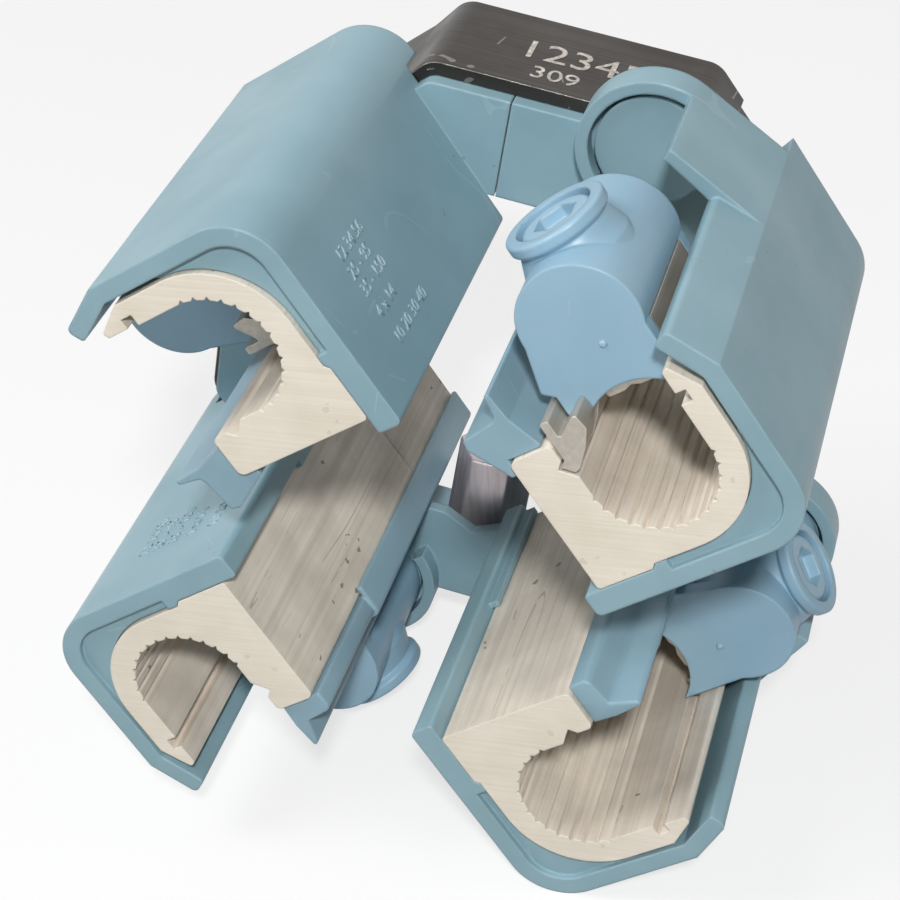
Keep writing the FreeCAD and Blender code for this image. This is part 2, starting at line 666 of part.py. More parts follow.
def make_carrier(label):
    """Sliding housing of the clamp screw: round back, two end plates and the turret."""
    body = new_body(label)
    pocket_back = chamber_across - size.yoke_back - size.seat_gap
    disc_back(body, carrier_across, screw_level, size.carrier_radius, 0, size.carrier_length)
    # turret: neck, flared cone and collar
    crest = carrier_across - size.carrier_radius
    collar_end = crest - size.collar_rise
    collar_start = collar_end + size.collar_height
    flare = collar_start + (size.collar_radius - size.neck_radius)
    turned(body, "Revolution", [
        (carrier_across, 0),
        (collar_end, 0),
        (collar_end, size.collar_radius, ("round", 0.4)),
        (collar_start, size.collar_radius, ("round", 0.4)),
        (flare, size.neck_radius),
        (flare + size.foot_run, size.foot_radius),
        (carrier_across, size.foot_radius),
    ], screw_level, size.turret_place)
    for start in (as_size(0), size.carrier_length - size.carrier_plate):
        run_back(body, plate_corners(), start, size.carrier_plate)
    # room for the yoke between the plates
    cut_back(body, [
        (pocket_back, screw_level - size.carrier_radius - 1),
        (chamber_across, screw_level - size.carrier_radius - 1),
        (chamber_across, screw_level + size.carrier_radius + 1),
        (pocket_back, screw_level + size.carrier_radius + 1),
    ], size.carrier_plate, size.carrier_length - size.carrier_plate * 2)
    turned(body, "Groove", tube_corners(collar_end - 1, pocket_back + 1, size.mouth_radius),
           screw_level, size.turret_place)
    return body


def make_yoke(label):
    """Metal nut plate on a shoe; the shoe's V rib and the upper rib run along the jaw and
    take the screw's thrust, and a slotted nose stands out before the carrier."""
    body = new_body(label)
    back = chamber_across - size.yoke_back
    front = back + size.yoke_thickness
    roof = chamber_roof - size.slide_gap
    rib = size.groove_width / 2 - size.rib_play
    upper = chamber_across - size.upper_groove
    heel = chamber_across - size.shoe_heel
    rib_tip = chamber_floor - size.notch_drop + size.slide_gap * 1.5
    near = (notch_across + size.shoe_rib, rib_tip + size.shoe_rib)
    shoulder = (near[0] - size.prong_run, shoe_top + size.prong_shoulder)
    crest = (chamber_across - size.crest_place, shoe_top + size.prong_crest)
    main_start = size.carrier_plate + size.seat_gap
    main_length = size.carrier_length - 2 * main_start
    sole = [
        (heel, shoe_level, ("round", 0.3)),
        (notch_across - size.notch_run + size.slide_gap / 2, shoe_level),
        (notch_across, rib_tip),
        near,
    ]
    run_back(body, sole + [
        (near[0] - size.slide_gap, shoe_top),
        (heel, shoe_top, ("round", 0.3)),
    ], -size.nose_length, size.nose_length + main_start + main_length)
    # nose, before the carrier's plate
    run_back(body, sole + [
        (near[0] - size.slide_gap, shoe_top),
        shoulder,
        crest + (("round", 0.4),),
        (crest[0] - size.crest_width, crest[1] - size.slide_gap, ("round", 0.4)),
        (chamber_across - size.slot_place, shoe_top, ("round", 0.3)),
        (heel, shoe_top, ("round", 0.3)),
    ], -size.nose_length, size.nose_length - size.seat_gap)
    # nut plate, between the carrier's end plates
    run_back(body, sole + [
        (near[0] - size.slide_gap, shoe_top),
        shoulder,
        crest + (("round", 0.4),),
        (front, crest[1]),
        (front, roof - 2 * size.rib_step),
        (upper + rib, roof - size.rib_step),
        (upper + rib, chamber_roof + size.groove_depth - size.rib_play),
        (upper - rib, chamber_roof + size.groove_depth - size.rib_play),
        (upper - rib, roof),
        (back, roof),
        (back, shoe_top + size.shoe_thickness),
    ], main_start, main_length)
    turned(body, "Groove", tube_corners(back - 1, front + 1, size.screw_radius + size.screw_run),
           screw_level, size.turret_place)
    return body


def make_clamp_screw(label):
    """Threaded screw with a hexagonal end for its cap and a pin that carries the pad."""
    body = new_body(label)
    tip = chamber_across - size.yoke_back + size.yoke_thickness + size.seat_gap
    head = tip - size.screw_length
    turned(body, "Revolution", [
        (head, 0),
        (head, size.screw_radius, ("round", 0.4)),
        (tip - size.screw_chamfer, size.screw_radius),
        (tip, size.screw_radius - size.screw_chamfer),
        (tip, size.pin_radius),
        (tip + size.pin_length, size.pin_radius),
        (tip + size.pin_length, 0),
    ], screw_level, size.turret_place)
    sketch = add_sketch(body, "YZ_Plane", (size.turret_place, screw_level, head))
    add_outline(sketch, hexagon(size.screw_hex))
    add_feature(body, "Pad", sketch, size.screw_hex_height, True)
    return body


def make_pressure_pad(label):
    """Small pressure plate on the screw's pin; its face is grooved for the tap core."""
    body = new_body(label)
    back = chamber_across - size.yoke_back + size.yoke_thickness + 2 * size.seat_gap
    face = back + size.pad_thickness
    floor = screw_level - size.pad_half
    roof = screw_level + size.pad_half
    run_back(body, [
        (back, floor, ("round", 0.3)),
        (face, floor, ("round", 0.3)),
        (face, screw_level - size.pad_half / 3),
        (face - size.pad_groove, screw_level),
        (face, screw_level + size.pad_half / 3),
        (face, roof, ("round", 0.3)),
        (back, roof, ("round", 0.3)),
    ], size.turret_place - size.pad_length / 2, size.pad_length)
    turned(body, "Groove", tube_corners(back - 1, back + size.pin_length + size.seat_gap,
                                        size.pin_radius + size.screw_run),
           screw_level, size.turret_place)
    return body


def make_screw_cap(label):
    """Insulating cap on the screw's end, with its own socket for the key."""
    body = new_body(label)
    inner = chamber_across - size.yoke_back + size.yoke_thickness + size.seat_gap - size.screw_length
    inner = inner - size.seat_gap
    outer = inner - size.cap_length
    turned(body, "Revolution", [
        (outer, 0),
        (outer, size.cap_radius, ("round", 0.8)),
        (inner, size.cap_radius),
        (inner, 0),
    ], screw_level, size.turret_place)
    seat = add_sketch(body, "YZ_Plane", (size.turret_place, screw_level, inner))
    add_outline(seat, hexagon(size.screw_hex + 2 * size.seat_gap))
    add_feature(body, "Pocket", seat, size.screw_hex_height + size.seat_gap, False)
    socket = add_sketch(body, "YZ_Plane", (size.turret_place, screw_level, outer))
    add_outline(socket, hexagon(size.cap_socket))
    add_feature(body, "Pocket", socket, size.cap_socket_depth, True)
    return body


def octagon(reach):
    side = reach * OCTAGON
    return [(side, -reach), (reach, -side), (reach, side), (side, reach),
            (-side, reach), (-reach, side), (-reach, -side), (-side, -reach)]


def make_band(label):
    """Folded steel band: one closed octagonal turn and an outer layer over the top flat."""
    body = new_body(label)
    outer = size.band_inner + size.band_sheet
    inner_bend = size.band_bend - size.band_sheet
    run_back(body, [corner + (("round", size.band_bend),) for corner in octagon(outer)],
             band_front, size.band_width)
    cut_back(body, [corner + (("round", inner_bend),) for corner in octagon(size.band_inner)],
             band_front, size.band_width)
    # outer layer: flat on top and down both bends
    top = outer + size.band_sheet
    lean = size.lap_run * math.sqrt(0.5)
    run_back(body, [
        (outer * OCTAGON + lean, outer - lean),
        (outer * OCTAGON + lean + size.lap_taper, outer - lean + size.lap_taper),
        (top * OCTAGON, top, ("round", size.band_bend)),
        (-top * OCTAGON, top, ("round", size.band_bend)),
        (-outer * OCTAGON - lean, outer - lean),
        (-outer * OCTAGON, outer - size.seat_gap),
        (outer * OCTAGON, outer - size.seat_gap),
    ], band_front, size.band_width)
    sketch = add_sketch(body, "XY_Plane", (0, band_front + size.bolt_place, 0))
    add_circle(sketch, 0, 0, size.bolt_radius + size.bolt_hole_gap)
    add_feature(body, "Pocket", sketch, outer + 1, False)
    return body


def make_closing_bolt(label):
    """Low round-headed bolt through the band's bottom flat and the liner."""
    body = new_body(label)
    under = size.band_inner + size.band_sheet + size.seat_gap
    depth = band_front + size.bolt_place
    sketch = add_sketch(body, "XY_Plane", (0, depth, -under - size.bolt_head_height))
    add_circle(sketch, 0, 0, size.bolt_head_radius)
    add_feature(body, "Pad", sketch, size.bolt_head_height, False)
    sketch = add_sketch(body, "XY_Plane", (0, depth, -under))
    add_circle(sketch, 0, 0, size.bolt_radius)
    add_feature(body, "Pad", sketch, size.bolt_length, False)
    return body


def make_long_nut(label):
    """Long hexagonal nut that stands on the liner, inside the ring."""
    body = new_body(label)
    seat = -(liner_reach - size.liner_wall) + size.seat_gap
    depth = band_front + size.bolt_place
    sketch = add_sketch(body, "XY_Plane", (0, depth, seat))
    add_outline(sketch, hexagon(size.nut_flats, 30))
    add_feature(body, "Pad", sketch, size.nut_length, False)
    sketch = add_sketch(body, "XY_Plane", (0, depth, seat))
    add_circle(sketch, 0, 0, size.bolt_radius + size.seat_gap)
    add_feature(body, "Pocket", sketch, size.nut_length, True)
    return body


def place(body, turn, depth=0):
    """Turn an upright piece round the passage's axis, counter-clockwise from the front."""
    spin = FreeCAD.Rotation(FreeCAD.Vector(0, -1, 0), 1.0)
    body.Placement = FreeCAD.Placement(FreeCAD.Vector(0, 0, 0), spin)
    body.setExpression("Placement.Rotation.Angle", as_size(turn).text)
    body.setExpression("Placement.Base.y", as_size(depth).text)


UNITS = [
    ("top_left", 0, home_place),
    ("bottom_left", 90, home_place),
    ("bottom_right", 180, home_place),
    ("top_right", 270, size.top_right_place),
]

pieces = []
for name, quarter, slide in UNITS:
    turn = quarter + size.unit_turn - size.lie_turn
    fixed = [
        make_jaw("jaw_" + name),
        make_shell("shell_" + name, name == "bottom_left"),
        make_edge_strip("edge_strip_" + name),
    ]
    sliding = [
        make_carrier("carrier_" + name),
        make_yoke("yoke_" + name),
        make_clamp_screw("clamp_screw_" + name),
        make_pressure_pad("pressure_pad_" + name),
        make_screw_cap("screw_cap_" + name),
    ]
    for body in fixed:
        place(body, turn)
    for body in sliding:
        place(body, turn, slide)
    pieces += fixed + sliding

ring = [make_band("steel_band"), make_closing_bolt("closing_bolt"), make_long_nut("closing_nut")]
for body in ring:
    place(body, -size.lie_turn)
pieces += ring

doc.recompute()
for thing in doc.Objects:
    if "Invalid" in thing.State or "Error" in thing.State:
        raise RuntimeError("%s did not build: %s" % (thing.Name, thing.State))
os.makedirs("parts", exist_ok=True)
for body in pieces:
    shape = body.Shape
    if shape.isNull() or not shape.isValid() or len(shape.Solids) != 1:
        raise RuntimeError("%s is not one valid solid" % body.Label)
    shape.exportStep("parts/%s.step" % body.Label)
    print("%-28s %9.1f mm3" % (body.Label, shape.Volume))
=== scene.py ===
import bpy
import json
import math
from mathutils import Matrix, Vector


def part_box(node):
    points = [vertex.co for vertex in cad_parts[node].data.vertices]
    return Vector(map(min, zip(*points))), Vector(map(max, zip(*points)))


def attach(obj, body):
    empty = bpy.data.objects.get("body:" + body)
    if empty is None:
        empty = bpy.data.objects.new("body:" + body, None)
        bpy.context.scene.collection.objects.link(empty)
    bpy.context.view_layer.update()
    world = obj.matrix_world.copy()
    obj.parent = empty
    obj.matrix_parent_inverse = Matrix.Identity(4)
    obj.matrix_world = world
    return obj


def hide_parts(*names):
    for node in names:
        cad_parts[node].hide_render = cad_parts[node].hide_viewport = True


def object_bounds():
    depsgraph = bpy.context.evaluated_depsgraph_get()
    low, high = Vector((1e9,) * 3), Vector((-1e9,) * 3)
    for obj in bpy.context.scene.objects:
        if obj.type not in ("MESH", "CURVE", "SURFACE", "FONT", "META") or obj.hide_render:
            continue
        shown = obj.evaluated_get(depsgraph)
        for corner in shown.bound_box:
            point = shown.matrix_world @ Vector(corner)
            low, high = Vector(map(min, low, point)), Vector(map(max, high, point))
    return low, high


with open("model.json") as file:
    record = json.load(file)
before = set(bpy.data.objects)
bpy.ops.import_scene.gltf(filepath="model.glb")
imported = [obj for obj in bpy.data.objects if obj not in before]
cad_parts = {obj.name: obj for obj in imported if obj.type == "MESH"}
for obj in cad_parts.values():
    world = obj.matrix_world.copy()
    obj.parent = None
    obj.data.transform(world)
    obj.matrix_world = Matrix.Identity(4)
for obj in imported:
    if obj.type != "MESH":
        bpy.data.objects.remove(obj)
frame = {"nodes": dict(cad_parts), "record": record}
cadBox = [[float(value) for value in corner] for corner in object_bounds()]
print("frame loaded:", len(frame["nodes"]), "nodes")

# the camera stands in front of the connector and looks down on it
cameraSettings = {
    "place": (0.073156, -0.21064, 0.169348), "angles": (55.926, 3.529, 15.118),
    "lens": 94.0, "sensor": 36.0, "clipStart": 0.01,
}

# a small lamp near the camera, a broad one from the upper left and a faint one behind
lightSettings = {
    "world": 0.10,
    "aim": (0.0, 0.03, 0.0),
    "lamps": {
        "keyLamp": {"place": (0.178, -0.50, 0.532), "size": 0.08, "power": 4.5},
        "sideLamp": {"place": (-0.56, -0.17, 0.67), "size": 0.45, "power": 4.4},
        "backLamp": {"place": (-0.30, 0.60, 0.75), "size": 0.50, "power": 0.25},
    },
}

# turns about the passage's axis, in degrees, counter-clockwise as seen from the front;
# heights of faces above the axis, in metres, in a unit's own upright frame or the ring's
layout = {
    "firstUnit": 31.2, "unitStep": 90.0, "ring": -12.2,
    "longSide": 0.0132, "contactFace": 0.0215, "bandTop": 0.0418,
}

unitNames = ("top_left", "bottom_left", "bottom_right", "top_right")


def deselectAll():
    bpy.ops.object.select_all(action="DESELECT")


def applyPlace():
    bpy.ops.object.transform_apply(location=True, rotation=True, scale=True)


def smoothBy(degrees):
    bpy.ops.object.shade_smooth_by_angle(angle=math.radians(degrees))


def editAll():
    bpy.ops.object.mode_set(mode="EDIT")
    bpy.ops.mesh.select_all(action="SELECT")


def closeMesh():
    bpy.ops.mesh.select_all(action="SELECT")
    bpy.ops.mesh.normals_make_consistent(inside=False)
    bpy.ops.object.mode_set(mode="OBJECT")


def turnedAbout(degrees):
    return Matrix.Rotation(math.radians(degrees), 4, Vector((0.0, -1.0, 0.0)))


# short ways to add shader nodes
def addNode(tree, kind, **settings):
    node = tree.nodes.new(kind)
    for name, value in settings.items():
        setattr(node, name, value)
    return node


def setInputs(node, **values):
    for name, value in values.items():
        node.inputs[name].default_value = value
    return node


def mathNode(tree, operation, first, second=None, clamp=False):
    node = addNode(tree, "ShaderNodeMath", operation=operation, use_clamp=clamp)
    for socket, value in zip(node.inputs, (first, second)):
        if value is None:
            continue
        if isinstance(value, (int, float)):
            socket.default_value = value
        else:
            tree.links.new(value, socket)
    return node.outputs[0]


def scaled(tree, value, share):
    return mathNode(tree, "MULTIPLY", value, share)


def halfAndHalf(tree, first, second, share=0.5):
    return mathNode(tree, "ADD", scaled(tree, first, share), scaled(tree, second, 1.0 - share))


def mixColour(tree, factor, first, second):
    node = addNode(tree, "ShaderNodeMix", data_type="RGBA", blend_type="MIX")
    sockets = (node.inputs[0], node.inputs[6], node.inputs[7])
    for socket, value in zip(sockets, (factor, first, second)):
        if isinstance(value, (int, float)):
            socket.default_value = value
        elif isinstance(value, tuple):
            socket.default_value = value + (1.0,)
        else:
            tree.links.new(value, socket)
    return node.outputs[2]


def mapRange(tree, value, low, high, newLow=0.0, newHigh=1.0):
    node = addNode(tree, "ShaderNodeMapRange")
    tree.links.new(value, node.inputs[0])
    for socket, number in zip(node.inputs[1:5], (low, high, newLow, newHigh)):
        socket.default_value = number
    return node.outputs[0]


def startGroup(name, inputs, outputs):
    group = bpy.data.node_groups.new(name, "ShaderNodeTree")
    for title, kind, value in inputs:
        socket = group.interface.new_socket(title, in_out="INPUT", socket_type=kind)
        socket.default_value = value
    for title, kind in outputs:
        group.interface.new_socket(title, in_out="OUTPUT", socket_type=kind)
    return group, group.nodes.new("NodeGroupInput"), group.nodes.new("NodeGroupOutput")


def useGroup(tree, group, **values):
    node = addNode(tree, "ShaderNodeGroup", node_tree=group)
    return setInputs(node, **values)


def noiseOf(tree, scale, detail=3.0):
    coordinate = addNode(tree, "ShaderNodeTexCoord")
    noise = setInputs(addNode(tree, "ShaderNodeTexNoise"), Scale=scale, Detail=detail)
    tree.links.new(coordinate.outputs["Object"], noise.inputs["Vector"])
    return noise.outputs["Fac"]


# effects that several materials share
# mask of sharp edges: partly rubbed wear, partly a painted highlight where light catches the
# rounded edge
def makeEdgeWearAndHighlight():
    flat, sharp = 0.995, 0.80  # cosine between the face and the bevelled normal
    group, start, end = startGroup(
        "edgeWearAndHighlight",
        [("Radius", "NodeSocketFloat", 0.0004), ("Breakup", "NodeSocketFloat", 900.0)],
        [("Mask", "NodeSocketFloat"), ("Normal", "NodeSocketVector")])
    links = group.links
    bevel = addNode(group, "ShaderNodeBevel", samples=6)
    links.new(start.outputs["Radius"], bevel.inputs["Radius"])
    geometry = addNode(group, "ShaderNodeNewGeometry")
    turnOf = addNode(group, "ShaderNodeVectorMath", operation="DOT_PRODUCT")
    links.new(bevel.outputs[0], turnOf.inputs[0])
    links.new(geometry.outputs["Normal"], turnOf.inputs[1])
    edge = mapRange(group, turnOf.outputs["Value"], flat, sharp)
    coordinate = addNode(group, "ShaderNodeTexCoord")
    noise = setInputs(addNode(group, "ShaderNodeTexNoise"), Detail=3.0)
    links.new(coordinate.outputs["Object"], noise.inputs["Vector"])
    links.new(start.outputs["Breakup"], noise.inputs["Scale"])
    broken = mapRange(group, noise.outputs["Fac"], 0.35, 0.65, 0.35, 1.0)
    links.new(mathNode(group, "MULTIPLY", edge, broken, True), end.inputs["Mask"])
    links.new(bevel.outputs[0], end.inputs["Normal"])
    return group


def makeStreaks():
    group, start, end = startGroup(
        "streaks",
        [("Stretch", "NodeSocketVector", (1.0, 1.0, 1.0)), ("Detail", "NodeSocketFloat", 4.0)],
        [("Value", "NodeSocketFloat")])
    coordinate = addNode(group, "ShaderNodeTexCoord")
    mapping = addNode(group, "ShaderNodeMapping")
    group.links.new(coordinate.outputs["Object"], mapping.inputs["Vector"])
    group.links.new(start.outputs["Stretch"], mapping.inputs["Scale"])
    noise = setInputs(addNode(group, "ShaderNodeTexNoise"), Scale=1.0, Roughness=0.6)
    group.links.new(mapping.outputs["Vector"], noise.inputs["Vector"])
    group.links.new(start.outputs["Detail"], noise.inputs["Detail"])
    group.links.new(noise.outputs["Fac"], end.inputs["Value"])
    return group


def makeSpecks():
    wobbleScale, wobbleSize = 900.0, 0.0012
    patchScale = 90.0
    group, start, end = startGroup(
        "specks",
        [("Scale", "NodeSocketFloat", 350.0), ("Size", "NodeSocketFloat", 0.2),
         ("Spread", "NodeSocketFloat", 0.55)],
        [("Mask", "NodeSocketFloat")])
    links = group.links
    coordinate = addNode(group, "ShaderNodeTexCoord")
    wobble = setInputs(addNode(group, "ShaderNodeTexNoise"), Scale=wobbleScale, Detail=2.0)
    links.new(coordinate.outputs["Object"], wobble.inputs["Vector"])
    shift = addNode(group, "ShaderNodeVectorMath", operation="SCALE")
    links.new(wobble.outputs["Color"], shift.inputs[0])
    setInputs(shift, Scale=wobbleSize)
    moved = addNode(group, "ShaderNodeVectorMath", operation="ADD")
    links.new(coordinate.outputs["Object"], moved.inputs[0])
    links.new(shift.outputs[0], moved.inputs[1])
    cells = addNode(group, "ShaderNodeTexVoronoi")
    links.new(moved.outputs[0], cells.inputs["Vector"])
    links.new(start.outputs["Scale"], cells.inputs["Scale"])
    near = mathNode(group, "LESS_THAN", cells.outputs["Distance"], start.outputs["Size"])
    patches = noiseOf(group, patchScale, 2.0)
    allowed = mathNode(group, "GREATER_THAN", patches, start.outputs["Spread"])
    links.new(mathNode(group, "MULTIPLY", near, allowed), end.inputs["Mask"])
    return group


def makeScratches():
    gapScale, gapShare = 140.0, 0.56
    group, start, end = startGroup(
        "scratches",
        [("Stretch", "NodeSocketVector", (60.0, 8.0, 60.0)),
         ("Turn", "NodeSocketVector", (0.3, 0.2, 0.5)),
         ("Width", "NodeSocketFloat", 0.006)],
        [("Mask", "NodeSocketFloat")])
    links = group.links
    coordinate = addNode(group, "ShaderNodeTexCoord")
    mapping = addNode(group, "ShaderNodeMapping")
    links.new(coordinate.outputs["Object"], mapping.inputs["Vector"])
    links.new(start.outputs["Stretch"], mapping.inputs["Scale"])
    links.new(start.outputs["Turn"], mapping.inputs["Rotation"])
    noise = setInputs(addNode(group, "ShaderNodeTexNoise"), Scale=1.0, Detail=1.0)
    links.new(mapping.outputs["Vector"], noise.inputs["Vector"])
    away = mathNode(group, "ABSOLUTE", mathNode(group, "SUBTRACT", noise.outputs["Fac"], 0.5))
    line = mathNode(group, "LESS_THAN", away, start.outputs["Width"])
    kept = mathNode(group, "GREATER_THAN", noiseOf(group, gapScale, 2.0), gapShare)
    links.new(mathNode(group, "MULTIPLY", line, kept), end.inputs["Mask"])
    return group


edgeWearAndHighlight = makeEdgeWearAndHighlight()
streaks = makeStreaks()
specks = makeSpecks()
scratches = makeScratches()


def startMaterial(name):
    material = bpy.data.materials.new(name)
    material.use_nodes = True
    tree = material.node_tree
    return material, tree, tree.nodes["Principled BSDF"]


def streakOf(tree, stretch, detail=4.0):
    return useGroup(tree, streaks, Stretch=stretch, Detail=detail).outputs["Value"]


def speckOf(tree, scale, size, spread):
    return useGroup(tree, specks, Scale=scale, Size=size, Spread=spread).outputs["Mask"]


def scratchOf(tree, stretch, turn, width):
    return useGroup(tree, scratches, Stretch=stretch, Turn=turn, Width=width).outputs["Mask"]


def addBump(tree, shader, height, strength, distance, normal=None):
    bump = setInputs(addNode(tree, "ShaderNodeBump"), Strength=strength, Distance=distance)
    tree.links.new(height, bump.inputs["Height"])
    if normal is not None:
        tree.links.new(normal, bump.inputs["Normal"])
    tree.links.new(bump.outputs[0], shader.inputs["Normal"])


jawFinish = {
    "side": (0.880, 0.800, 0.690), "sideDark": (0.700, 0.625, 0.530),
    "cut": (0.830, 0.765, 0.655), "cutDark": (0.740, 0.670, 0.555),
    "stain": (0.430, 0.375, 0.325), "speck": (0.130, 0.112, 0.095),
    # the edge tone is lighter for rubbed wear and for a painted highlight along the edges
    "scratch": (0.210, 0.185, 0.160), "edge": (0.880, 0.845, 0.770),
    "lines": (1500.0, 14.0, 1500.0), "broadLines": (420.0, 9.0, 420.0),
    "sawMarks": (55.0, 1.0, 2600.0), "cloud": 120.0, "grain": 1400.0,
    "specks": (430.0, 0.17, 0.60), "speckOnSide": 0.70, "speckOnCut": 0.15,
    "scratches": ((170.0, 5.0, 170.0), (0.02, 0.0, 0.03), 0.0016), "scratchShare": 0.45,
    "edgeRadius": 0.00025, "edgeBreakup": 700.0, "edgeShare": 0.65,
    "roughness": 0.48, "metallic": 0.12, "cutMetallic": 0.05,
    "bump": 0.30, "bumpDepth": 0.00008,
}


def makeJawMetal():
    finish = jawFinish
    material, tree, shader = startMaterial("tinnedJaw")
    coordinate = addNode(tree, "ShaderNodeTexCoord")
    parts = addNode(tree, "ShaderNodeSeparateXYZ")
    tree.links.new(coordinate.outputs["Normal"], parts.inputs[0])
    isEnd = mapRange(tree, mathNode(tree, "ABSOLUTE", parts.outputs["Y"]), 0.7, 0.9)
    isSide = mathNode(tree, "SUBTRACT", 1.0, isEnd)
    # drawn lines run along the jaw, saw marks run across its cut ends
    lines = streakOf(tree, finish["lines"])
    broad = streakOf(tree, finish["broadLines"], 2.0)
    saw = streakOf(tree, finish["sawMarks"], 3.0)
    cloud = noiseOf(tree, finish["cloud"])
    share = mapRange(tree, lines, 0.35, 0.65)
    side = mixColour(tree, share, finish["sideDark"], finish["side"])
    share = mapRange(tree, broad, 0.42, 0.62, 0.0, 0.45)
    side = mixColour(tree, share, side, finish["side"])
    share = mapRange(tree, cloud, 0.35, 0.65, 0.40, 0.0)
    side = mixColour(tree, share, side, finish["stain"])
    share = mapRange(tree, halfAndHalf(tree, saw, cloud), 0.38, 0.60)
    cut = mixColour(tree, share, finish["cutDark"], finish["cut"])
    base = mixColour(tree, isEnd, side, cut)
    share = mapRange(tree, isEnd, 0.0, 1.0, finish["speckOnSide"], finish["speckOnCut"])
    spots = mathNode(tree, "MULTIPLY", speckOf(tree, *finish["specks"]), share)
    base = mixColour(tree, spots, base, finish["speck"])
    share = scaled(tree, isSide, finish["scratchShare"])
    marks = mathNode(tree, "MULTIPLY", scratchOf(tree, *finish["scratches"]), share)
    base = mixColour(tree, marks, base, finish["scratch"])
    # lighter edges: rubbed wear and a painted highlight along the edges
    wearAndHighlight = useGroup(tree, edgeWearAndHighlight, Radius=finish["edgeRadius"], Breakup=finish["edgeBreakup"])
    share = scaled(tree, wearAndHighlight.outputs["Mask"], finish["edgeShare"])
    base = mixColour(tree, share, base, finish["edge"])
    tree.links.new(base, shader.inputs["Base Color"])
    metallic = mapRange(tree, isEnd, 0.0, 1.0, finish["metallic"], finish["cutMetallic"])
    tree.links.new(metallic, shader.inputs["Metallic"])
    middle = finish["roughness"]
    rough = mapRange(tree, lines, 0.3, 0.7, middle + 0.08, middle - 0.06)
    tree.links.new(rough, shader.inputs["Roughness"])
    ridges = mixColour(tree, isEnd, lines, saw)
    height = halfAndHalf(tree, ridges, noiseOf(tree, finish["grain"]), 0.7)
    addBump(tree, shader, height, finish["bump"], finish["bumpDepth"], wearAndHighlight.outputs["Normal"])
    return material


plasticFinish = {
    "shell": {"main": (0.265, 0.415, 0.475), "deep": (0.225, 0.365, 0.420), "roughness": 0.40},
    "strip": {"main": (0.260, 0.405, 0.485), "deep": (0.220, 0.350, 0.425), "roughness": 0.42},
    "carrier": {"main": (0.300, 0.475, 0.600), "deep": (0.265, 0.430, 0.550), "roughness": 0.38},
    "cap": {"main": (0.335, 0.515, 0.635), "deep": (0.300, 0.470, 0.590), "roughness": 0.38},
    "number": {"main": (0.430, 0.580, 0.630), "deep": (0.320, 0.465, 0.515), "roughness": 0.48},
}

plasticWearAndHighlight = {
    # the edge tone is lighter for rubbed wear and for a painted highlight along the edges
    "flow": (0.310, 0.455, 0.505), "edge": (0.500, 0.675, 0.740),
    "scuff": (0.430, 0.575, 0.625), "dust": (0.100, 0.130, 0.150),
    "flowLines": (150.0, 26.0, 150.0), "cloud": 60.0, "grain": 2600.0,
    "specks": (520.0, 0.12, 0.63), "scratches": ((40.0, 40.0, 14.0), (0.8, 0.4, 0.9), 0.0020),
    "flowShare": 0.20, "edgeShare": 0.42, "scuffShare": 0.22, "dustShare": 0.35,
    "edgeRadius": 0.00045, "edgeBreakup": 450.0, "bump": 0.16, "bumpDepth": 0.00010,
}


def makePlastic(name, finish):
    wornAndLit = plasticWearAndHighlight
    material, tree, shader = startMaterial(name)
    cloud = noiseOf(tree, wornAndLit["cloud"], 4.0)
    base = mixColour(tree, mapRange(tree, cloud, 0.35, 0.65), finish["deep"], finish["main"])
    flow = streakOf(tree, wornAndLit["flowLines"], 3.0)
    share = mapRange(tree, flow, 0.55, 0.75, 0.0, wornAndLit["flowShare"])
    base = mixColour(tree, share, base, wornAndLit["flow"])
    # lighter edges: rubbed wear and a painted highlight along the edges
    wearAndHighlight = useGroup(tree, edgeWearAndHighlight, Radius=wornAndLit["edgeRadius"], Breakup=wornAndLit["edgeBreakup"])
    share = scaled(tree, wearAndHighlight.outputs["Mask"], wornAndLit["edgeShare"])
    base = mixColour(tree, share, base, wornAndLit["edge"])
    share = scaled(tree, scratchOf(tree, *wornAndLit["scratches"]), wornAndLit["scuffShare"])
    base = mixColour(tree, share, base, wornAndLit["scuff"])
    share = scaled(tree, speckOf(tree, *wornAndLit["specks"]), wornAndLit["dustShare"])
    base = mixColour(tree, share, base, wornAndLit["dust"])
    tree.links.new(base, shader.inputs["Base Color"])
    middle = finish["roughness"]
    rough = mapRange(tree, cloud, 0.3, 0.7, middle + 0.07, middle - 0.05)
    tree.links.new(rough, shader.inputs["Roughness"])
    height = halfAndHalf(tree, noiseOf(tree, wornAndLit["grain"], 2.0), flow)
    addBump(tree, shader, height, wornAndLit["bump"], wornAndLit["bumpDepth"], wearAndHighlight.outputs["Normal"])
    return material


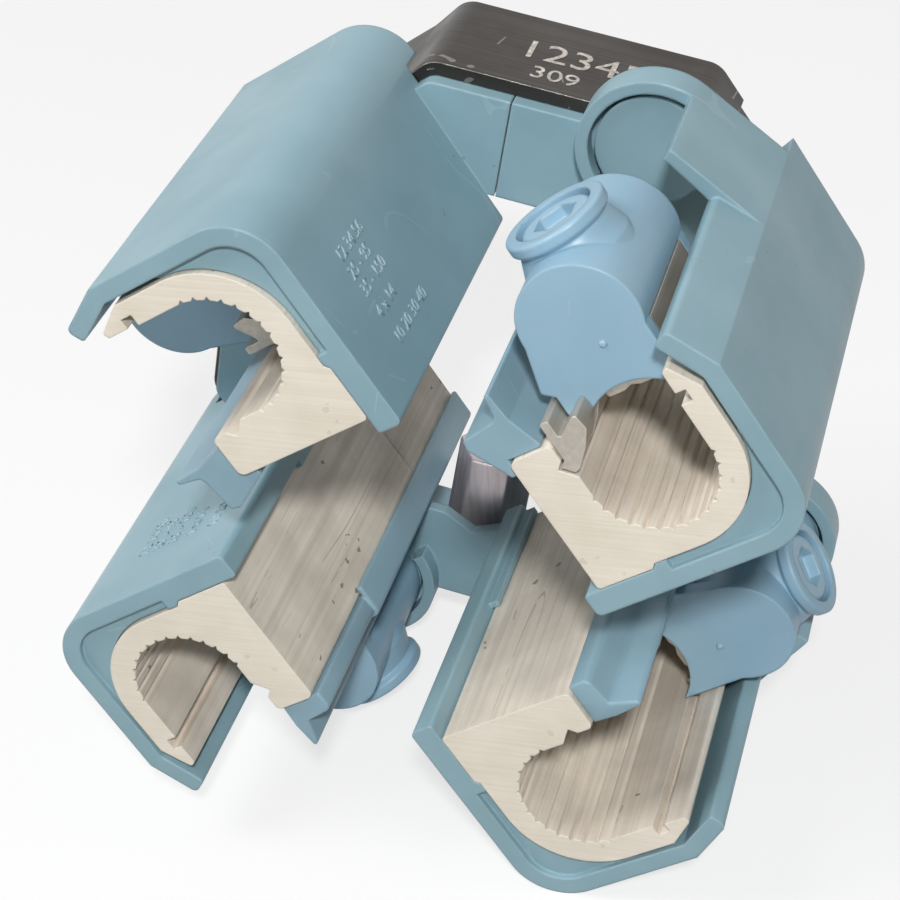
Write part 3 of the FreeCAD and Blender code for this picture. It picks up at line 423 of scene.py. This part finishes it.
# each metal's edge tone is lighter for rubbed wear and for a painted highlight along the edges
metalFinish = {
    # the band's near-black main and dark tones are painted shade and dark reflection, far darker
    # than bare steel
    "band": {
        "main": (0.080, 0.071, 0.065), "dark": (0.045, 0.040, 0.036), "edge": (0.72, 0.68, 0.62),
        "lines": (14.0, 2600.0, 14.0), "roughness": 0.36, "metallic": 0.92},
    "yoke": {
        "main": (0.560, 0.520, 0.460), "dark": (0.430, 0.395, 0.345), "edge": (0.78, 0.74, 0.66),
        "lines": (1200.0, 40.0, 1200.0), "roughness": 0.45, "metallic": 0.75},
    "screw": {
        "main": (0.520, 0.510, 0.495), "dark": (0.360, 0.350, 0.340), "edge": (0.74, 0.73, 0.70),
        "lines": (1500.0, 1500.0, 1500.0), "roughness": 0.34, "metallic": 0.95},
    "pad": {
        "main": (0.600, 0.560, 0.500), "dark": (0.470, 0.430, 0.380), "edge": (0.80, 0.76, 0.68),
        "lines": (1500.0, 30.0, 1500.0), "roughness": 0.42, "metallic": 0.75},
    "zinc": {
        "main": (0.760, 0.690, 0.710), "dark": (0.480, 0.410, 0.430), "edge": (0.86, 0.81, 0.82),
        "lines": (900.0, 900.0, 60.0), "roughness": 0.36, "metallic": 0.55},
}

metalWearAndHighlight = {
    "cloud": 110.0, "cloudShare": 0.35, "edgeShare": 0.7, "scratchShare": 0.25,
    "scratches": ((50.0, 12.0, 50.0), (0.1, 0.5, 1.2), 0.0016),
    "edgeRadius": 0.00018, "edgeBreakup": 800.0, "bump": 0.30, "bumpDepth": 0.00006,
}


def makeMetal(name, finish):
    wornAndLit = metalWearAndHighlight
    material, tree, shader = startMaterial(name)
    lines = streakOf(tree, finish["lines"])
    cloud = noiseOf(tree, wornAndLit["cloud"], 4.0)
    base = mixColour(tree, mapRange(tree, lines, 0.30, 0.70), finish["dark"], finish["main"])
    share = mapRange(tree, cloud, 0.40, 0.70, 0.0, wornAndLit["cloudShare"])
    base = mixColour(tree, share, base, finish["dark"])
    share = scaled(tree, scratchOf(tree, *wornAndLit["scratches"]), wornAndLit["scratchShare"])
    base = mixColour(tree, share, base, finish["edge"])
    # lighter edges: rubbed wear and a painted highlight along the edges
    wearAndHighlight = useGroup(tree, edgeWearAndHighlight, Radius=wornAndLit["edgeRadius"], Breakup=wornAndLit["edgeBreakup"])
    share = scaled(tree, wearAndHighlight.outputs["Mask"], wornAndLit["edgeShare"])
    base = mixColour(tree, share, base, finish["edge"])
    tree.links.new(base, shader.inputs["Base Color"])
    setInputs(shader, Metallic=finish["metallic"])
    middle = finish["roughness"]
    rough = mapRange(tree, cloud, 0.3, 0.7, middle - 0.06, middle + 0.12)
    tree.links.new(rough, shader.inputs["Roughness"])
    addBump(tree, shader, lines, wornAndLit["bump"], wornAndLit["bumpDepth"], wearAndHighlight.outputs["Normal"])
    return material


stampFinish = {
    "dark": (0.34, 0.31, 0.28), "main": (0.66, 0.62, 0.56), "grain": 1500.0,
    "metallic": 0.85, "bump": 0.25, "bumpDepth": 0.00005,
}


def makeStampMetal():
    finish = stampFinish
    material, tree, shader = startMaterial("stampedCharacters")
    grain = noiseOf(tree, finish["grain"])
    base = mixColour(tree, mapRange(tree, grain, 0.35, 0.65), finish["dark"], finish["main"])
    tree.links.new(base, shader.inputs["Base Color"])
    setInputs(shader, Metallic=finish["metallic"])
    tree.links.new(mapRange(tree, grain, 0.3, 0.7, 0.35, 0.55), shader.inputs["Roughness"])
    addBump(tree, shader, grain, finish["bump"], finish["bumpDepth"])
    return material


numberPlastic = makePlastic("numberPlastic", plasticFinish["number"])
stampMetal = makeStampMetal()
finishes = {
    "tinned_jaw": makeJawMetal(),
    "blue_shell": makePlastic("shellPlastic", plasticFinish["shell"]),
    "blue_strip": makePlastic("stripPlastic", plasticFinish["strip"]),
    "blue_carrier": makePlastic("carrierPlastic", plasticFinish["carrier"]),
    "light_cap": makePlastic("capPlastic", plasticFinish["cap"]),
    "band_steel": makeMetal("bandSteel", metalFinish["band"]),
    "yoke_metal": makeMetal("yokeMetal", metalFinish["yoke"]),
    "screw_steel": makeMetal("screwSteel", metalFinish["screw"]),
    "pad_metal": makeMetal("padMetal", metalFinish["pad"]),
    "bolt_zinc": makeMetal("boltZinc", metalFinish["zinc"]),
}

for subpart in frame["record"]["subparts"]:
    for holder in frame["nodes"][subpart["node"]].material_slots:
        holder.material = finishes[subpart["material_slot"]]


# a piece is modelled once in a unit's upright frame, then turned into each unit;
# {} in a name stands for the unit's corner
def copyToUnits(model, name, body, units=unitNames, setBack=None, replaced=None):
    for unit in units:
        deselectAll()
        model.select_set(True)
        bpy.context.view_layer.objects.active = model
        bpy.ops.object.duplicate(linked=False)
        piece = bpy.context.object
        piece.name = name.format(unit)
        shift = Matrix.Translation(Vector((0.0, setBack[unit] if setBack else 0.0, 0.0)))
        turn = layout["firstUnit"] + layout["unitStep"] * unitNames.index(unit)
        piece.matrix_world = turnedAbout(turn) @ shift
        applyPlace()
        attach(piece, body.format(unit))
        if replaced:
            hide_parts(replaced.format(unit))
    bpy.data.objects.remove(model)


shellNumbers = {
    # each row's text, and the level of its feet in millimetres
    "rows": [("12 34 56", 37.1), ("25 - 95", 34.6), ("35 - 150", 32.1), ("4 x 14", 29.0),
             ("10 20 30 40", 25.2)],
    "height": 0.0024, "thickness": 0.0003, "start": 0.0096, "drop": 0.0008,
}

stampNumbers = {
    # each row's text, its height, and its place across and behind the front
    "rows": [("12345", 0.0068, -0.0078, 0.0577), ("309", 0.0044, -0.0050, 0.0528)],
    "thickness": 0.00012,
}


def makeCharacters(name, text, height, thickness, place, material):
    deselectAll()
    bpy.ops.object.text_add(location=(0.0, 0.0, 0.0))
    label = bpy.context.object
    label.data.body = text
    label.data.size = height
    label.data.extrude = thickness / 2
    label.data.resolution_u = 4
    bpy.ops.object.convert(target="MESH")
    label = bpy.context.object
    label.name = name
    label.matrix_world = place
    applyPlace()
    label.data.materials.clear()
    label.data.materials.append(material)
    return label


def numberShells():
    side = layout["longSide"]
    for row, (text, level) in enumerate(shellNumbers["rows"], start=1):
        # the rows run from the front to the back, their feet towards the axis
        axes = Matrix(((0.0, 0.0, 1.0, side), (1.0, 0.0, 0.0, shellNumbers["start"]),
                       (0.0, 1.0, 0.0, level / 1000 - shellNumbers["drop"]),
                       (0.0, 0.0, 0.0, 1.0)))
        label = makeCharacters("numberModel", text, shellNumbers["height"],
                               shellNumbers["thickness"], axes, numberPlastic)
        copyToUnits(label, "raised_number_{}_%d" % row, "clamp_body")


def stampBand():
    for row, (text, height, across, back) in enumerate(stampNumbers["rows"], start=1):
        axes = Matrix.Translation(Vector((across, back, layout["bandTop"])))
        label = makeCharacters("stamped_number_%d" % row, text, height,
                               stampNumbers["thickness"],
                               turnedAbout(layout["ring"]) @ axes, stampMetal)
        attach(label, "clamp_body")


numberShells()
stampBand()
print("numbers made")


longNut = {
    "low": -0.0380, "high": -0.0195, "behindFront": 0.0580,
    "acrossFlats": 0.0100, "boreRadius": 0.0031, "boreSides": 64, "rounding": 0.0004,
    "smooth": 30.0,
}

nutThread = {
    "start": -0.0287, "depth": 0.00045, "sunk": 0.0001, "pitch": 0.0010, "turns": 9,
    "steps": 48, "smooth": 40.0,
}


def placeInRing(piece):
    spot = Matrix.Translation(Vector((0.0, longNut["behindFront"], 0.0)))
    piece.matrix_world = turnedAbout(layout["ring"]) @ spot
    applyPlace()
    piece.data.materials.append(finishes["bolt_zinc"])
    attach(piece, "clamp_body")


def makeNut():
    length = longNut["high"] - longNut["low"]
    middle = (longNut["high"] + longNut["low"]) / 2
    deselectAll()
    bpy.ops.mesh.primitive_cylinder_add(vertices=longNut["boreSides"],
                                        radius=longNut["boreRadius"], depth=2 * length,
                                        location=(0.0, 0.0, middle))
    drill = bpy.context.object
    applyPlace()
    deselectAll()
    corner = longNut["acrossFlats"] / 2 / math.cos(math.radians(30.0))
    bpy.ops.mesh.primitive_cylinder_add(vertices=6, radius=corner, depth=length,
                                        location=(0.0, 0.0, middle),
                                        rotation=(0.0, 0.0, math.radians(30.0)))
    nut = bpy.context.object
    nut.name = "long_nut"
    applyPlace()
    edges = nut.modifiers.new("rounded", "BEVEL")
    edges.width = longNut["rounding"]
    edges.segments = 3
    bpy.ops.object.modifier_apply(modifier="rounded")
    bore = nut.modifiers.new("bore", "BOOLEAN")
    bore.operation = "DIFFERENCE"
    bore.object = drill
    bpy.ops.object.modifier_apply(modifier="bore")
    bpy.data.objects.remove(drill)
    smoothBy(longNut["smooth"])
    placeInRing(nut)
    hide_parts("closing_nut")


def threadNut():
    reach = longNut["boreRadius"] - nutThread["sunk"]
    deselectAll()
    # a small triangle that points at the axis, wound up by a screw modifier
    bpy.ops.mesh.primitive_circle_add(vertices=3, radius=nutThread["depth"], fill_type="NGON",
                                      location=(reach, 0.0, nutThread["start"]),
                                      rotation=(math.radians(90.0), math.radians(-90.0), 0.0))
    thread = bpy.context.object
    thread.name = "nut_thread"
    applyPlace()
    editAll()
    bpy.ops.mesh.delete(type="ONLY_FACE")
    bpy.ops.object.mode_set(mode="OBJECT")
    screw = thread.modifiers.new("winding", "SCREW")
    screw.iterations = nutThread["turns"]
    screw.screw_offset = nutThread["pitch"]
    screw.steps = screw.render_steps = nutThread["steps"]
    bpy.ops.object.modifier_apply(modifier="winding")
    editAll()
    bpy.ops.mesh.fill_holes(sides=3)
    closeMesh()
    smoothBy(nutThread["smooth"])
    placeInRing(thread)


# the point left by the mould on each carrier's front plate
gateMark = {
    "radius": 0.00055, "height": 0.00030, "across": -0.0163, "level": 0.0377,
    "sunk": 0.00005, "taper": 0.6, "smooth": 50.0,
}


def markGates():
    across, level, taper = gateMark["across"], gateMark["level"], gateMark["taper"]
    deselectAll()
    bpy.ops.mesh.primitive_circle_add(vertices=20, radius=gateMark["radius"], fill_type="NGON",
                                      location=(across, gateMark["sunk"], level),
                                      rotation=(math.radians(90.0), 0.0, 0.0))
    mark = bpy.context.object
    applyPlace()
    editAll()
    outwards = {"value": (0.0, -gateMark["height"], 0.0)}
    bpy.ops.mesh.extrude_region_move(TRANSFORM_OT_translate=outwards)
    bpy.ops.transform.resize(value=(taper, 1.0, taper), center_override=(across, 0.0, level))
    closeMesh()
    smoothBy(gateMark["smooth"])
    mark.data.materials.append(finishes["light_cap"])
    fronts = {unit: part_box("carrier_" + unit)[0][1] for unit in unitNames}
    copyToUnits(mark, "gate_mark_{}", "carrier_{}", setBack=fronts)


# sections in a unit's upright frame, in millimetres: across, and up from the contact face;
# start, end and stepAt are millimetres behind the front
tails = {
    "start": 48.0, "end": 69.0,
    "arm": [(-9.5, 0.0), (4.0, 0.0), (4.0, 4.4), (-9.5, 4.4)],
    "strip": [(-5.6, -0.1), (-9.6, -0.1), (-9.6, 4.5), (-14.1, 3.0), (-18.0, 2.7),
              (-18.0, 2.1), (-14.7, 1.6), (-14.0, -3.5), (-12.7, -3.8), (-7.4, -1.0),
              (-5.6, -1.0)],
    "armRound": 0.5, "stripRound": 0.3,
}

# the two strips that have slipped outwards: narrow in front of the step, lapped behind it
lowStrip = {
    "start": 0.6, "stepAt": 20.5, "overlap": 0.5,
    "front": [(-9.6, -0.35), (-11.9, -0.45), (-12.5, 0.15), (-12.9, 3.7), (-16.4, 4.7),
              (-16.6, 5.4), (-12.9, 5.8), (-9.6, 5.6)],
    "rear": [(-8.0, -0.1), (-9.55, -0.1), (-9.55, 5.5), (-12.9, 5.85), (-16.6, 5.45),
             (-16.4, 4.65), (-13.1, 3.7), (-12.9, -0.3), (-12.3, -0.9), (-8.0, -0.9)],
    "round": 0.3,
}

# edges sharper than sharpEdge are rounded, flatter ones than smooth are shaded round
barEdges = {"sharpEdge": 25.0, "segments": 3, "smooth": 35.0}


def makeBar(section, start, end, rounding, slotName):
    across, up = section[0]
    corner = (across / 1000, start / 1000, layout["contactFace"] + up / 1000)
    deselectAll()
    bpy.ops.mesh.primitive_plane_add(size=0.001, location=corner)
    bar = bpy.context.object
    applyPlace()
    editAll()
    bpy.ops.mesh.merge(type="CENTER")
    for here, there in zip(section, section[1:]):
        step = ((there[0] - here[0]) / 1000, 0.0, (there[1] - here[1]) / 1000)
        bpy.ops.mesh.extrude_vertices_move(TRANSFORM_OT_translate={"value": step})
    bpy.ops.mesh.select_all(action="SELECT")
    bpy.ops.mesh.edge_face_add()
    length = {"value": (0.0, (end - start) / 1000, 0.0)}
    bpy.ops.mesh.extrude_region_move(TRANSFORM_OT_translate=length)
    closeMesh()
    edges = bar.modifiers.new("rounded", "BEVEL")
    edges.width = rounding / 1000
    edges.segments = barEdges["segments"]
    edges.limit_method = "ANGLE"
    edges.angle_limit = math.radians(barEdges["sharpEdge"])
    bpy.ops.object.modifier_apply(modifier="rounded")
    smoothBy(barEdges["smooth"])
    bar.data.materials.append(finishes[slotName])
    return bar


def makeTails():
    start, end = tails["start"], tails["end"]
    arm = makeBar(tails["arm"], start, end, tails["armRound"], "tinned_jaw")
    copyToUnits(arm, "jaw_tail_{}", "clamp_body")
    strip = makeBar(tails["strip"], start, end, tails["stripRound"], "blue_strip")
    copyToUnits(strip, "edge_strip_tail_{}", "clamp_body",
                units=("top_left", "top_right"))


def makeLowStrips():
    start, stepAt, rounding = lowStrip["start"], lowStrip["stepAt"], lowStrip["round"]
    front = makeBar(lowStrip["front"], start, stepAt + lowStrip["overlap"], rounding, "blue_strip")
    rear = makeBar(lowStrip["rear"], stepAt, tails["end"], rounding, "blue_strip")
    deselectAll()
    rear.select_set(True)
    front.select_set(True)
    bpy.context.view_layer.objects.active = front
    bpy.ops.object.join()
    copyToUnits(front, "edge_strip_low_{}", "clamp_body",
                units=("bottom_left", "bottom_right"), replaced="edge_strip_{}")


makeNut()
threadNut()
markGates()
makeTails()
makeLowStrips()
print("nut, gate marks, tails and low strips made")


floorSettings = {
    "size": 6.0, "cloud": 3.0, "roughness": 0.9,
    "tone": (0.86, 0.86, 0.86), "lightTone": (0.88, 0.88, 0.88),
    "bounceTone": (0.35, 0.35, 0.35),  # less light goes back up into the passage
    "whiteShare": 0.72,
}


# camera, glossy and transmission rays see the surroundings pale
def paleRays(tree, rays):
    seen = mathNode(tree, "ADD", rays.outputs["Is Camera Ray"], rays.outputs["Is Glossy Ray"])
    return mathNode(tree, "ADD", seen, rays.outputs["Is Transmission Ray"], True)


def makeFloor():
    deselectAll()
    bpy.ops.mesh.primitive_plane_add(size=floorSettings["size"],
                                     location=(0.0, 0.0, cadBox[0][2]))
    floor = bpy.context.object
    floor.name = "studioFloor"
    applyPlace()
    material, tree, shader = startMaterial("paleFloor")
    share = mapRange(tree, noiseOf(tree, floorSettings["cloud"]), 0.3, 0.7)
    tone = mixColour(tree, share, floorSettings["tone"], floorSettings["lightTone"])
    rays = addNode(tree, "ShaderNodeLightPath")
    tone = mixColour(tree, rays.outputs["Is Diffuse Ray"], tone, floorSettings["bounceTone"])
    tree.links.new(tone, shader.inputs["Base Color"])
    setInputs(shader, Roughness=floorSettings["roughness"])
    glow = setInputs(addNode(tree, "ShaderNodeEmission"), Strength=1.0)
    blend = addNode(tree, "ShaderNodeMixShader")
    share = scaled(tree, paleRays(tree, rays), floorSettings["whiteShare"])
    tree.links.new(share, blend.inputs[0])
    tree.links.new(shader.outputs[0], blend.inputs[1])
    tree.links.new(glow.outputs[0], blend.inputs[2])
    tree.links.new(blend.outputs[0], tree.nodes["Material Output"].inputs["Surface"])
    floor.data.materials.append(material)


def makeWorld():
    world = bpy.data.worlds.new("studio")
    bpy.context.scene.world = world
    world.use_nodes = True
    tree = world.node_tree
    background = setInputs(tree.nodes["Background"], Color=(1.0, 1.0, 1.0, 1.0))
    rays = addNode(tree, "ShaderNodeLightPath")
    strength = mapRange(tree, paleRays(tree, rays), 0.0, 1.0, lightSettings["world"], 1.0)
    tree.links.new(strength, background.inputs["Strength"])


def addLamp(name, settings):
    deselectAll()
    bpy.ops.object.light_add(type="AREA", location=settings["place"])
    lamp = bpy.context.object
    lamp.name = name
    lamp.data.shape = "DISK"
    lamp.data.size = settings["size"]
    lamp.data.energy = settings["power"]
    aim = Vector(lightSettings["aim"]) - Vector(settings["place"])
    lamp.rotation_euler = aim.to_track_quat("-Z", "Y").to_euler()


def makeCamera():
    deselectAll()
    bpy.ops.object.camera_add(location=cameraSettings["place"])
    camera = bpy.context.object
    camera.name = "photoCamera"
    camera.rotation_euler = [math.radians(angle) for angle in cameraSettings["angles"]]
    camera.data.lens = cameraSettings["lens"]
    camera.data.sensor_width = cameraSettings["sensor"]
    camera.data.clip_start = cameraSettings["clipStart"]
    bpy.context.scene.camera = camera


makeFloor()
makeWorld()
for lampName, lampSettings in lightSettings["lamps"].items():
    addLamp(lampName, lampSettings)
makeCamera()
bpy.context.scene.view_settings.view_transform = "Standard"
print("floor, lights and camera set")
